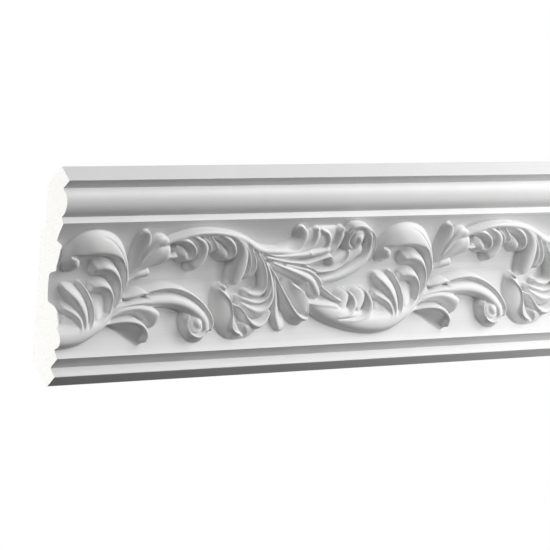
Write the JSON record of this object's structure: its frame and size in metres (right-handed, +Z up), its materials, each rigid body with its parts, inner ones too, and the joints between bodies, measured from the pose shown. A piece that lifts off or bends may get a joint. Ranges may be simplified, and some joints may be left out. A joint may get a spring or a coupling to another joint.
{
  "type": "cornice moulding",
  "caption": "Cove cornice moulding in white cast polyurethane foam, with an ovolo top and a running acanthus scroll carved in relief over the cove, cut square at both ends.",
  "frame": {"origin": "centre of the flat face that is glued to the wall, at mid-length", "axes": "+X along the moulding, +Y out of the wall face into the wall, so the room is on the -Y side, +Z up to the ceiling"},
  "size_m": [0.6666, 0.12, 0.1136],
  "materials": {
    "primed_polyurethane": "factory-primed matt white skin of moulded rigid polyurethane foam"
  },
  "bodies": {
    "root": {"cornice": "primed_polyurethane"}
  },
  "joints": []
}
